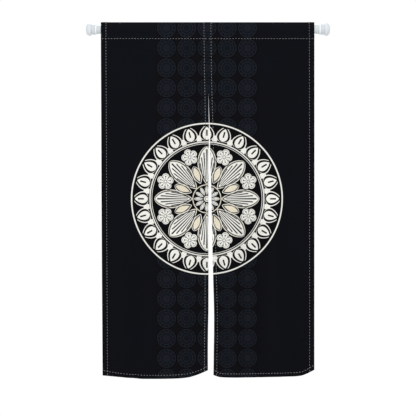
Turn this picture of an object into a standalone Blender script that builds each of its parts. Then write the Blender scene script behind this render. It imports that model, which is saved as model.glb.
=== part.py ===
"""Noren curtain on a rod: two hemmed cloth panels that share a rod pocket line, and a white rod.

Metres, +Z up. The front of the cloth faces -Y and the rod runs along +X. The origin is the centre
of the rod's left end face, so the wall that the left end presses on is the plane X = 0. A drop is a
distance down from the cloth's top fold, and an across value runs sideways from the cloth's centre.
"""

from collections import namedtuple
import math

import bmesh
import bpy
import numpy as np

OBJECT_NAME = "noren_curtain"

# The rod
ROD_LENGTH = 0.9822
TUBE_RADIUS = 0.0175
TUBE_WALL = 0.0008
SEAT_GAP = 0.0003
TURN_STEPS = 32
TURN_MERGE = 0.00001

# The caps, measured from the end face towards the middle of the rod
CAP_LENGTH = 0.0360
CAP_FLAT_RADIUS = 0.0080
CAP_FOOT_RADIUS = 0.0256
CAP_FOOT_DEPTH = 0.0150
CAP_FOOT_BACK = 0.0195
CAP_WAIST_RADIUS = 0.0210
CAP_WAIST_START = 0.0230
CAP_FLOOR = 0.0100
CAP_LIP = 0.0012
FLARE_STEPS = 5
RIM_STEPS = 9

# The rings that butt against the caps
RING_WIDTH = 0.0074
RING_RADIUS = 0.0213
RING_LIP = 0.0012
LIP_STEPS = 3

# The cloth
CLOTH_WIDTH = 0.860
LEFT_OVERHANG = 0.0597
CLOTH_CENTRE = LEFT_OVERHANG + CLOTH_WIDTH / 2
TOP_ABOVE_ROD = 0.0292
POCKET_DROP = 0.0661
POCKET_LAP = 0.0080
SLIT_DROP = 0.2900
CLOTH_THICKNESS = 0.0015
HEM_THICKNESS = 0.0022
OUTER_HEM = 0.0204
INNER_HEM = 0.0140
BOTTOM_HEM = 0.0150
HEM_STEP = 0.0014
FRONT_OF_AXIS = 0.0011
TOP_FOLD_WIDTH = 0.0026

# How finely the cloth is cut into faces
COLUMNS_BETWEEN_HEMS = 16
ROWS_BESIDE_SEAM = 3
ROWS_BESIDE_SLIT = 20
ARC_STEPS = 4
WIDEST_ARC = math.radians(80)
SHARP_FROM = math.radians(40)

EdgePoint = namedtuple("EdgePoint", "drop across")
SlitPoint = namedtuple("SlitPoint", "drop width")
HemPoint = namedtuple("HemPoint", "share drop")
Fold = namedtuple("Fold", "share half_width depth start full")
Panel = namedtuple("Panel", "name sides hem folds left_hem right_hem")

# The left panel: its outer edge draws in round the rod and a little below it, and its hem lifts
# towards the slit
LEFT_OUTER_EDGE = (
    EdgePoint(0.000, -0.4300),
    EdgePoint(0.012, -0.4291),
    EdgePoint(0.045, -0.4291),
    EdgePoint(0.060, -0.4298),
    EdgePoint(0.300, -0.4288),
    EdgePoint(1.040, -0.4256),
    EdgePoint(1.440, -0.4231),
)
LEFT_SLIT_EDGE = (
    EdgePoint(0.000, -0.0008),
    EdgePoint(0.200, 0.0012),
    EdgePoint(0.300, 0.0037),
    EdgePoint(0.345, 0.0042),
    EdgePoint(0.400, 0.0052),
    EdgePoint(0.460, 0.0054),
    EdgePoint(0.520, 0.0046),
    EdgePoint(0.620, 0.0034),
    EdgePoint(0.740, 0.0030),
    EdgePoint(0.900, 0.0033),
    EdgePoint(1.040, 0.0039),
    EdgePoint(1.150, 0.0037),
    EdgePoint(1.243, 0.0019),
    EdgePoint(1.340, 0.0011),
    EdgePoint(1.440, 0.0014),
)
LEFT_HEM = (
    HemPoint(0.00, 1.4228),
    HemPoint(0.06, 1.4249),
    HemPoint(0.18, 1.4288),
    HemPoint(0.25, 1.4318),
    HemPoint(0.30, 1.4331),
    HemPoint(0.38, 1.4367),
    HemPoint(0.52, 1.4358),
    HemPoint(0.70, 1.4342),
    HemPoint(0.80, 1.4311),
    HemPoint(0.90, 1.4204),
    HemPoint(1.00, 1.4029),
)
LEFT_FOLDS = (
    Fold(0.00, 0.17, 0.008, 0.55, 1.30),
    Fold(0.19, 0.16, -0.008, 0.40, 1.10),
    Fold(0.38, 0.15, 0.006, 0.50, 1.20),
    Fold(0.62, 0.23, -0.012, 0.26, 0.95),
    Fold(1.00, 0.24, 0.022, 0.40, 1.44),
)

# How far the two panels stand apart: they are joined edge to edge down to the slit
SLIT_WIDTH = (
    SlitPoint(0.000, SEAT_GAP),
    SlitPoint(0.290, SEAT_GAP),
    SlitPoint(0.400, 0.0043),
    SlitPoint(0.464, 0.0054),
    SlitPoint(0.500, 0.0060),
    SlitPoint(0.640, 0.0119),
    SlitPoint(0.720, 0.0137),
    SlitPoint(0.810, 0.0155),
    SlitPoint(1.040, 0.0197),
    SlitPoint(1.147, 0.0228),
    SlitPoint(1.260, 0.0251),
    SlitPoint(1.340, 0.0245),
    SlitPoint(1.440, 0.0228),
)

# The right panel: it hangs in deeper waves, so it is narrower below and leaves the slit open
RIGHT_OUTER_EDGE = (
    EdgePoint(0.000, 0.4300),
    EdgePoint(0.012, 0.4290),
    EdgePoint(0.045, 0.4290),
    EdgePoint(0.060, 0.4300),
    EdgePoint(0.800, 0.4302),
    EdgePoint(1.440, 0.4309),
)
RIGHT_HEM = (
    HemPoint(0.00, 1.4213),
    HemPoint(0.03, 1.4259),
    HemPoint(0.07, 1.4296),
    HemPoint(0.17, 1.4300),
    HemPoint(0.35, 1.4313),
    HemPoint(0.58, 1.4276),
    HemPoint(0.77, 1.4272),
    HemPoint(0.86, 1.4244),
    HemPoint(0.93, 1.4152),
    HemPoint(1.00, 1.4013),
)
RIGHT_FOLDS = (
    Fold(0.00, 0.15, 0.012, 0.30, 0.95),
    Fold(0.18, 0.16, -0.015, 0.27, 0.90),
    Fold(0.37, 0.17, 0.014, 0.30, 1.00),
    Fold(0.58, 0.18, -0.015, 0.28, 0.95),
    Fold(0.79, 0.17, 0.010, 0.34, 1.05),
    Fold(1.00, 0.19, 0.024, 0.55, 1.44),
)


def clear_scene():
    """Removes the objects that the scene starts with."""
    for old in list(bpy.data.objects):
        bpy.data.objects.remove(old, do_unlink=True)


def make_collection(name):
    """A new collection in the scene."""
    collection = bpy.data.collections.new(name)
    bpy.context.scene.collection.children.link(collection)
    return collection


def make_material(name, colour, roughness, metallic=0.0):
    """A Principled BSDF with a linear colour."""
    material = bpy.data.materials.new(name)
    material.use_nodes = True
    shader = material.node_tree.nodes["Principled BSDF"]
    shader.inputs["Base Color"].default_value = (*colour, 1.0)
    shader.inputs["Roughness"].default_value = roughness
    shader.inputs["Metallic"].default_value = metallic
    return material


def add_object(name, mesh, material, collection):
    """Links a mesh into the scene as a named object with one material."""
    piece = bpy.data.objects.new(name, mesh)
    mesh.materials.append(material)
    collection.objects.link(piece)
    return piece


def smooth_curve(points, values):
    """Reads a table of (place, height) rows at many places, along a smooth curve through its rows
    that never runs past them: a row's slope is the harmonic mean of the slopes on its two sides."""
    places = np.array([row[0] for row in points])
    heights = np.array([row[1] for row in points])
    secants = np.diff(heights) / np.diff(places)
    before, after = secants[:-1], secants[1:]
    same_way = before * after > 0
    total = np.where(same_way, before + after, 1.0)
    inner = np.where(same_way, 2 * before * after / total, 0.0)
    slopes = np.concatenate([secants[:1], inner, secants[-1:]])
    values = np.clip(values, places[0], places[-1])
    left = np.clip(np.searchsorted(places, values) - 1, 0, len(places) - 2)
    span = places[left + 1] - places[left]
    t = (values - places[left]) / span
    rise = t * t * (3 - 2 * t)
    return (
        heights[left] * (1 - rise)
        + heights[left + 1] * rise
        + slopes[left] * span * t * (1 - t) ** 2
        - slopes[left + 1] * span * t * t * (1 - t)
    )


def fold_depth(folds, share, drop):
    """How far the cloth stands behind its own straight plane. Each fold is a raised cosine across
    the panel, and it grows smoothly from the drop where it starts to the one where it is full."""
    depth = np.zeros(np.broadcast(share, drop).shape)
    for fold in folds:
        reach = np.clip(np.abs(share - fold.share) / fold.half_width, 0, 1)
        grown = np.clip((drop - fold.start) / (fold.full - fold.start), 0, 1)
        depth += fold.depth * 0.5 * (1 + np.cos(math.pi * reach)) * grown * grown * (3 - 2 * grown)
    return depth


def left_sides(drop):
    """The left panel's outer and slit edges at each drop, as across values."""
    return smooth_curve(LEFT_OUTER_EDGE, drop), smooth_curve(LEFT_SLIT_EDGE, drop)


def right_sides(drop):
    """The right panel's slit and outer edges at each drop, as across values."""
    slit = smooth_curve(LEFT_SLIT_EDGE, drop) + smooth_curve(SLIT_WIDTH, drop)
    return slit, smooth_curve(RIGHT_OUTER_EDGE, drop)


def column_shares(panel):
    """Where the panel's columns of points lie, as shares of its width, with a step at each hem."""
    left, right = panel.sides(0.0)
    width = right - left
    half_step = HEM_STEP / 2
    first = panel.left_hem + half_step
    last = width - panel.right_hem - half_step
    between = np.linspace(first, last, COLUMNS_BETWEEN_HEMS + 1)
    left_band = [0.0, panel.left_hem - half_step]
    right_band = [width - panel.right_hem + half_step, width]
    return np.concatenate([left_band, between, right_band]) / width


def pocket_radius():
    """Radius of the points of the pocket's outer face where it lies on the tube. The flats between
    them lie nearer the tube, so the points stand out by the cosine of half a step."""
    half_step = WIDEST_ARC / ARC_STEPS / 2
    return (TUBE_RADIUS + SEAT_GAP + HEM_THICKNESS) / math.cos(half_step)


def pocket_side(stitch_y, side):
    """Points (y, z) of one side of the pocket, from the stitch line up to the top fold: a straight
    run to where it touches a circle round the tube, an arc, and a straight run. side is -1 in
    front and 1 behind."""
    radius = pocket_radius()
    fold = (TOP_FOLD_WIDTH / 2, TOP_ABOVE_ROD)
    stitch = (abs(stitch_y), TOP_ABOVE_ROD - POCKET_DROP)
    touches = []
    for (y, z), turn in ((stitch, -1), (fold, 1)):
        angle = math.atan2(y, z)
        touches.append(angle + turn * math.acos(radius / math.hypot(y, z)))
    arc = np.linspace(touches[0], touches[1], ARC_STEPS + 1)
    ys = np.concatenate([[stitch[0]], radius * np.sin(arc), [fold[0]]])
    zs = np.concatenate([[stitch[1]], radius * np.cos(arc), [fold[1]]])
    ys = np.insert(ys, [1, len(ys) - 1], [ys[:2].mean(), ys[-2:].mean()])
    zs = np.insert(zs, [1, len(zs) - 1], [zs[:2].mean(), zs[-2:].mean()])
    return side * ys, zs


def panel_grid(panel):
    """Points of the panel's outer face as an array (row, column, xyz). Rows run from the hem up
    the front, over the rod and down behind it to the end of the pocket's lap."""
    shares = column_shares(panel)
    hem_drop = smooth_curve(panel.hem, shares)
    beside_slit = np.linspace(1, 0, ROWS_BESIDE_SLIT + 1)[:, None]
    hem_start = hem_drop - BOTTOM_HEM - HEM_STEP / 2
    drops = [hem_drop[None], (hem_start + HEM_STEP)[None]]
    drops.append(SLIT_DROP + (hem_start[None] - SLIT_DROP) * beside_slit)
    seam = np.linspace(SLIT_DROP, POCKET_DROP, ROWS_BESIDE_SEAM + 1)[1:-1, None]
    drops.append(np.repeat(seam, len(shares), axis=1))
    drops = np.concatenate(drops)
    tail_y = fold_depth(panel.folds, shares[None], drops) - FRONT_OF_AXIS
    tail_z = TOP_ABOVE_ROD - drops

    front_y, front_z = pocket_side(-FRONT_OF_AXIS, -1)
    lap_y = 2 * HEM_THICKNESS + SEAT_GAP - FRONT_OF_AXIS
    back_y, back_z = pocket_side(lap_y, 1)
    over_y = np.concatenate([front_y, back_y[::-1], [lap_y]])
    over_z = np.concatenate([front_z, back_z[::-1], [back_z[0] - POCKET_LAP]])

    ys = np.concatenate([tail_y, np.repeat(over_y[:, None], len(shares), axis=1)])
    zs = np.concatenate([tail_z, np.repeat(over_z[:, None], len(shares), axis=1)])
    level = TOP_ABOVE_ROD - zs
    left, right = panel.sides(level)
    xs = CLOTH_CENTRE + left + (right - left) * shares[None]
    return np.stack([xs, ys, zs], axis=-1)


def build_panel(panel, material, collection):
    """One cloth panel: a grid bent to the panel's outer face, thickened inwards by Solidify, with
    its hems thicker than the cloth between them."""
    grid = panel_grid(panel)
    rows, columns = grid.shape[:2]
    work = bmesh.new()
    bmesh.ops.create_grid(work, x_segments=columns - 1, y_segments=rows - 1, size=1)
    work.verts.ensure_lookup_table()
    for index, point in enumerate(grid.reshape(-1, 3)):
        work.verts[index].co = point
    mesh = bpy.data.meshes.new(panel.name)
    work.to_mesh(mesh)
    work.free()
    mesh.shade_smooth()
    mesh.set_sharp_from_angle(angle=SHARP_FROM)
    piece = add_object(panel.name, mesh, material, collection)

    hems = piece.vertex_groups.new(name="hems")
    in_hem = np.zeros((rows, columns), dtype=bool)
    in_hem[:, :2] = True
    in_hem[:, -2:] = True
    in_hem[:2] = True
    hems.add(np.flatnonzero(in_hem).tolist(), 1.0, "REPLACE")

    shell = piece.modifiers.new("cloth", "SOLIDIFY")
    shell.thickness = HEM_THICKNESS
    shell.offset = -1
    shell.use_even_offset = True
    shell.vertex_group = hems.name
    shell.thickness_vertex_group = CLOTH_THICKNESS / HEM_THICKNESS
    return piece


def arc_points(centre, radii, start, end, steps):
    """Points (radius, height) along an ellipse's arc, angles in degrees from the radial axis."""
    angles = np.radians(np.linspace(start, end, steps + 1))
    return [(centre[0] + radii[0] * math.cos(a), centre[1] + radii[1] * math.sin(a)) for a in angles]


def turned(name, profile, closed, material, collection):
    """A solid turned about local Z from a profile of (radius, height) points that runs down its
    outer side. A closed profile makes a ring, and an open one starts and ends on the axis."""
    mesh = bpy.data.meshes.new(name)
    points = [(radius, 0.0, height) for radius, height in profile]
    edges = [(i, i + 1) for i in range(len(points) - 1)]
    if closed:
        edges.append((len(points) - 1, 0))
    mesh.from_pydata(points, edges, [])
    piece = add_object(name, mesh, material, collection)
    turn = piece.modifiers.new("turn", "SCREW")
    turn.steps = TURN_STEPS
    turn.render_steps = TURN_STEPS
    turn.use_merge_vertices = True
    turn.merge_threshold = TURN_MERGE
    turn.use_smooth_shade = True
    return piece


def place_on_rod(piece, distance, from_left):
    """Lays a turned piece along the rod, its local Z pointing to the rod's middle."""
    side = 1 if from_left else -1
    start = 0.0 if from_left else ROD_LENGTH
    piece.rotation_euler = (0, side * math.pi / 2, 0)
    piece.location = (start + side * distance, 0, 0)


def cap_profile():
    """The cap: a cup on the tube's end, with a waist and a thick round foot. The foot's end is domed
    round a small flat face."""
    bore = TUBE_RADIUS + SEAT_GAP
    profile = [(0.0, CAP_FLOOR), (bore, CAP_FLOOR), (bore, CAP_LENGTH)]
    profile.append((CAP_WAIST_RADIUS - CAP_LIP, CAP_LENGTH))
    profile.append((CAP_WAIST_RADIUS, CAP_LENGTH - CAP_LIP))
    for t in np.linspace(0, 1, FLARE_STEPS + 1):
        ease = 0.5 - 0.5 * math.cos(math.pi * t)
        radius = CAP_WAIST_RADIUS + (CAP_FOOT_RADIUS - CAP_WAIST_RADIUS) * ease
        profile.append((radius, CAP_WAIST_START + (CAP_FOOT_BACK - CAP_WAIST_START) * t))
    rim_radii = (CAP_FOOT_RADIUS - CAP_FLAT_RADIUS, CAP_FOOT_DEPTH)
    rim = arc_points((CAP_FLAT_RADIUS, CAP_FOOT_DEPTH), rim_radii, 0, -90, RIM_STEPS)
    return profile + rim + [(0.0, 0.0)]


def ring_profile():
    """The ring: a band with round outer edges round the tube."""
    bore = TUBE_RADIUS + SEAT_GAP
    shoulder = RING_RADIUS - RING_LIP
    lip = (RING_LIP, RING_LIP)
    profile = [(bore, RING_WIDTH)]
    profile += arc_points((shoulder, RING_WIDTH - RING_LIP), lip, 90, 0, LIP_STEPS)
    profile += arc_points((shoulder, RING_LIP), lip, 0, -90, LIP_STEPS)
    return profile + [(bore, 0.0)]


def tube_profile(length):
    """The tube's wall, open at both ends."""
    inner = TUBE_RADIUS - TUBE_WALL
    return [(inner, length), (TUBE_RADIUS, length), (TUBE_RADIUS, 0.0), (inner, 0.0)]


def build_rod(tube_paint, white_plastic, collection):
    """The tube with a cap and a ring on each end."""
    tube_start = CAP_FLOOR + SEAT_GAP
    tube = turned(
        "rod_tube", tube_profile(ROD_LENGTH - 2 * tube_start), True, tube_paint, collection
    )
    place_on_rod(tube, tube_start, True)
    for end, from_left in (("left", True), ("right", False)):
        cap = turned(f"cap_{end}", cap_profile(), False, white_plastic, collection)
        place_on_rod(cap, 0.0, from_left)
        ring = turned(f"ring_{end}", ring_profile(), True, white_plastic, collection)
        place_on_rod(ring, CAP_LENGTH + SEAT_GAP, from_left)


def main():
    """Builds the curtain."""
    clear_scene()
    collection = make_collection(OBJECT_NAME)
    cloth = make_material("cloth", (0.0060, 0.0065, 0.0085), 0.85)
    tube_paint = make_material("tube_paint", (0.72, 0.76, 0.78), 0.35, 0.1)
    white_plastic = make_material("white_plastic", (0.78, 0.80, 0.83), 0.40)
    left = Panel("panel_left", left_sides, LEFT_HEM, LEFT_FOLDS, OUTER_HEM, INNER_HEM)
    right = Panel("panel_right", right_sides, RIGHT_HEM, RIGHT_FOLDS, INNER_HEM, OUTER_HEM)
    for panel in (left, right):
        build_panel(panel, cloth, collection)
    build_rod(tube_paint, white_plastic, collection)


main()
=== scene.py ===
"""Looks of the noren curtain: two hemmed cloth panels on a white rod.

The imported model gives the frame. Metres, +Z up, the front of the cloth faces -Y. A share is a place
across a panel, 0 at its left edge and 1 at its right one. A way is a distance along the cloth from
its top fold, positive down the front and negative down the back of the rod pocket. A drop is a
height below the top fold, and an across value runs sideways from the cloth's centre.
"""

from dataclasses import dataclass, field
from enum import Enum
import logging
import math
from typing import NamedTuple

import bmesh
import bpy
import numpy as np
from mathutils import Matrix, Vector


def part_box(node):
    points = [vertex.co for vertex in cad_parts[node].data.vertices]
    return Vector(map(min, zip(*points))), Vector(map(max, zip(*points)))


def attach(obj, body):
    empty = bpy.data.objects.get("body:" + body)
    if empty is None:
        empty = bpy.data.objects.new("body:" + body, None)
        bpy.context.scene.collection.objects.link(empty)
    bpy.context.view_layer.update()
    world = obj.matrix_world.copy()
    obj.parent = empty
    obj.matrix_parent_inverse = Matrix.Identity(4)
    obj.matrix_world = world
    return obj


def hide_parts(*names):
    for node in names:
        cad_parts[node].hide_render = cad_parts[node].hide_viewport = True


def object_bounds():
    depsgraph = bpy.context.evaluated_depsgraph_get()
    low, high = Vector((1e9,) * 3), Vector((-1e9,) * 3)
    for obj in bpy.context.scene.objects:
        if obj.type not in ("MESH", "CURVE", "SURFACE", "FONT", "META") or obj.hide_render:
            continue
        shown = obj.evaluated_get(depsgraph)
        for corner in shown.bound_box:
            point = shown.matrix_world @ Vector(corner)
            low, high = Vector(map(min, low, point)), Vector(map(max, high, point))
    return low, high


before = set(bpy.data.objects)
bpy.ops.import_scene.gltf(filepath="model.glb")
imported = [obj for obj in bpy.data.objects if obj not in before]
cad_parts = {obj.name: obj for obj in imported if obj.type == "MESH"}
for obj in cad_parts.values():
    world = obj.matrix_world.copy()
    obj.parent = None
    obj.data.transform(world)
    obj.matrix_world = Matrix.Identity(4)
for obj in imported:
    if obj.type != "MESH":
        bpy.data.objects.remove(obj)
cad_low, cad_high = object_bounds()

LOG = logging.getLogger("noren")
BODY = "root"
POCKET_DROP = 0.0661
CLOTH_MAP = "Cloth"
EDGE_MAP = "Edges"
SEAM_MARK = 0.1
POCKET_POINTS = (7, 15, 9)
RULER_POINTS = 4001

Array = np.ndarray
Piece = bpy.types.Object
Tree = bpy.types.NodeTree
Socket = bpy.types.NodeSocket
Colour = tuple[float, float, float]
Tone = Colour | Socket
Point = tuple[float, float, float]
Pair = tuple[float, float]


class Side(Enum):
    """The two panels of the curtain, as the viewer sees them."""

    LEFT = "left"
    RIGHT = "right"


class Face(Enum):
    """The two faces of the cloth."""

    FRONT = "front"
    BACK = "back"


class Rise(NamedTuple):
    """One row of a table: a height or width at a place."""

    place: float
    value: float


class Fold(NamedTuple):
    """One hanging fold: its place, half width and depth, and the drops where it starts and is full."""

    share: float
    half_width: float
    depth: float
    start: float
    full: float


class Crease(NamedTuple):
    """One soft crease: its two ends (share, drop), the width of its trough and its depth."""

    from_share: float
    from_drop: float
    to_share: float
    to_drop: float
    width: float
    depth: float


def rises(*rows: Pair) -> tuple[Rise, ...]:
    """A table from pairs of a place and a value."""
    return tuple(Rise(*row) for row in rows)


def ease(values: Array) -> Array:
    """Smooth step: 3t^2 - 2t^3 of the values held between 0 and 1."""
    t = np.clip(values, 0.0, 1.0)
    return t * t * (3 - 2 * t)


def read_table(table: tuple[Rise, ...], places: Array) -> Array:
    """Reads a table along a smooth curve that never runs past its rows.

    A cubic Hermite curve through the rows. A row's slope is the harmonic mean of the slopes on its
    two sides, or 0 where they differ in sign.

    Args:
        table: Rows in rising order of place.
        places: Where to read it.

    Returns:
        The values at the places, as an array of their shape.
    """
    rows = np.array(table)
    at, height = rows[:, 0], rows[:, 1]
    secants = np.diff(height) / np.diff(at)
    before, after = secants[:-1], secants[1:]
    same_way = before * after > 0
    total = np.where(same_way, before + after, 1.0)
    inner = np.where(same_way, 2 * before * after / total, 0.0)
    slopes = np.concatenate([secants[:1], inner, secants[-1:]])
    held = np.clip(places, at[0], at[-1])
    i = np.clip(np.searchsorted(at, held) - 1, 0, len(at) - 2)
    span = at[i + 1] - at[i]
    t = (held - at[i]) / span
    rise = t * t * (3 - 2 * t)
    bend = span * (slopes[i] * t * (1 - t) ** 2 - slopes[i + 1] * t * t * (1 - t))
    return height[i] * (1 - rise) + height[i + 1] * rise + bend


@dataclass(frozen=True)
class ClothSizes:
    """The sizes that both panels share, in metres."""

    pocket_drop: float = POCKET_DROP
    pocket_lap: float = 0.0080
    front_of_axis: float = 0.0011
    back_of_axis: float = 0.0036
    pocket_radius: float = 0.0201
    top_fold_radius: float = 0.0020
    outer_stitch: float = 0.0204
    inner_stitch: float = 0.0140
    past_stitch: float = 0.0018
    slit_drop: float = 0.2900
    slit_ease: float = 0.03
    cloth_thickness: float = 0.0007
    hem_thickness: float = 0.0015


@dataclass(frozen=True)
class ReliefSizes:
    """The small relief of sewn cloth: stitch troughs, puckers, rolled edges, turned hems, creases.

    Sizes are in metres, and a crease fades in and out over shares of its length.
    """

    trough_depth: float = 0.00042
    trough_reach: float = 0.0022
    pucker_reach: float = 0.0110
    pucker_height: float = 0.00022
    pucker_pitch: float = 0.031
    pucker_drift: float = 0.147
    pucker_swing: float = 2.1
    swell_height: float = 0.00020
    swell_pitch: float = 0.083
    swell_phase: float = 1.3
    slit_phase: float = 0.013
    row_phase: float = 0.02
    row_strength: float = 0.8
    roll_depth: float = 0.0009
    roll_reach: float = 0.0021
    hem_lift: float = 0.00030
    hem_step: float = 0.0024
    crease_wander: float = 0.004
    wander_waves: float = 9.0
    wander_spread: float = 40.0
    crease_fade_in: float = 0.12
    crease_fade_out: float = 0.35
    normal_step: float = 0.0008
    even_width: float = 0.43


@dataclass(frozen=True)
class PanelTables:
    """The tables that set one panel's outline and folds: a row for each section or fold."""

    hem: tuple[Rise, ...]
    hem_stitch: tuple[Rise, ...]
    folds: tuple[Fold, ...]
    creases: tuple[Crease, ...]


LEFT_OUTER_EDGE = rises(
    (0.000, -0.4300), (0.012, -0.4291), (0.045, -0.4291), (0.060, -0.4298), (0.300, -0.4288),
    (1.040, -0.4256), (1.440, -0.4231),
)
LEFT_SLIT_EDGE = rises(
    (0.000, -0.0008), (0.200, 0.0012), (0.300, 0.0037), (0.345, 0.0042), (0.400, 0.0052),
    (0.460, 0.0054), (0.520, 0.0046), (0.620, 0.0034), (0.740, 0.0030), (0.900, 0.0033),
    (1.040, 0.0039), (1.150, 0.0037), (1.243, 0.0019), (1.340, 0.0011), (1.440, 0.0014),
)
SLIT_WIDTH = rises(
    (0.000, 0.0000), (0.288, 0.0000), (0.313, 0.0005), (0.350, 0.0010), (0.394, 0.0018),
    (0.440, 0.0034), (0.464, 0.0040), (0.500, 0.0046), (0.640, 0.0109), (0.720, 0.0127),
    (0.810, 0.0145), (1.040, 0.0187), (1.147, 0.0218), (1.260, 0.0241), (1.340, 0.0235),
    (1.440, 0.0218),
)
RIGHT_OUTER_EDGE = rises(
    (0.000, 0.4300), (0.012, 0.4290), (0.045, 0.4290), (0.060, 0.4300), (0.800, 0.4302),
    (1.440, 0.4309),
)

LEFT_TABLES = PanelTables(
    hem=rises(
        (0.00, 1.4228), (0.06, 1.4249), (0.18, 1.4288), (0.25, 1.4318), (0.30, 1.4331),
        (0.38, 1.4367), (0.52, 1.4358), (0.70, 1.4342), (0.80, 1.4311), (0.90, 1.4204),
        (1.00, 1.4029),
    ),
    hem_stitch=rises((0.00, 0.0202), (0.13, 0.0160), (0.25, 0.0148), (0.94, 0.0150), (1.00, 0.0168)),
    folds=(
        Fold(0.00, 0.17, 0.008, 0.55, 1.30),
        Fold(0.19, 0.16, -0.008, 0.40, 1.10),
        Fold(0.38, 0.15, 0.006, 0.50, 1.20),
        Fold(0.62, 0.23, -0.012, 0.26, 0.95),
        Fold(1.00, 0.24, 0.022, 0.40, 1.44),
    ),
    creases=(
        Crease(1.00, 0.295, 0.80, 0.520, 0.013, 0.0009),
        Crease(0.98, 0.300, 0.55, 0.420, 0.016, 0.0007),
        Crease(0.00, 0.720, 1.00, 0.716, 0.007, 0.0005),
        Crease(0.50, 0.120, 0.49, 1.400, 0.007, 0.0004),
        Crease(0.03, 0.090, 0.22, 0.250, 0.015, -0.0006),
        Crease(0.72, 1.190, 0.95, 1.350, 0.018, 0.0010),
        Crease(0.08, 1.300, 0.30, 1.230, 0.016, 0.0007),
    ),
)
RIGHT_TABLES = PanelTables(
    hem=rises(
        (0.00, 1.4213), (0.03, 1.4259), (0.07, 1.4296), (0.17, 1.4300), (0.35, 1.4313),
        (0.58, 1.4276), (0.77, 1.4272), (0.86, 1.4244), (0.93, 1.4152), (1.00, 1.4013),
    ),
    hem_stitch=rises((0.00, 0.0205), (0.05, 0.0168), (0.11, 0.0150), (0.86, 0.0150), (1.00, 0.0205)),
    folds=(
        Fold(0.00, 0.15, 0.012, 0.30, 0.95),
        Fold(0.18, 0.16, -0.015, 0.27, 0.90),
        Fold(0.37, 0.17, 0.014, 0.30, 1.00),
        Fold(0.58, 0.18, -0.015, 0.28, 0.95),
        Fold(0.79, 0.17, 0.010, 0.34, 1.05),
        Fold(1.00, 0.19, 0.024, 0.55, 1.44),
    ),
    creases=(
        Crease(0.01, 0.295, 0.22, 0.500, 0.014, 0.0010),
        Crease(0.02, 0.300, 0.50, 0.440, 0.016, 0.0007),
        Crease(0.00, 0.716, 1.00, 0.722, 0.007, 0.0005),
        Crease(0.51, 0.120, 0.50, 1.400, 0.007, 0.0004),
        Crease(0.97, 0.090, 0.75, 0.240, 0.015, -0.0006),
        Crease(0.93, 1.180, 0.80, 1.380, 0.018, 0.0009),
    ),
)


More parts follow.
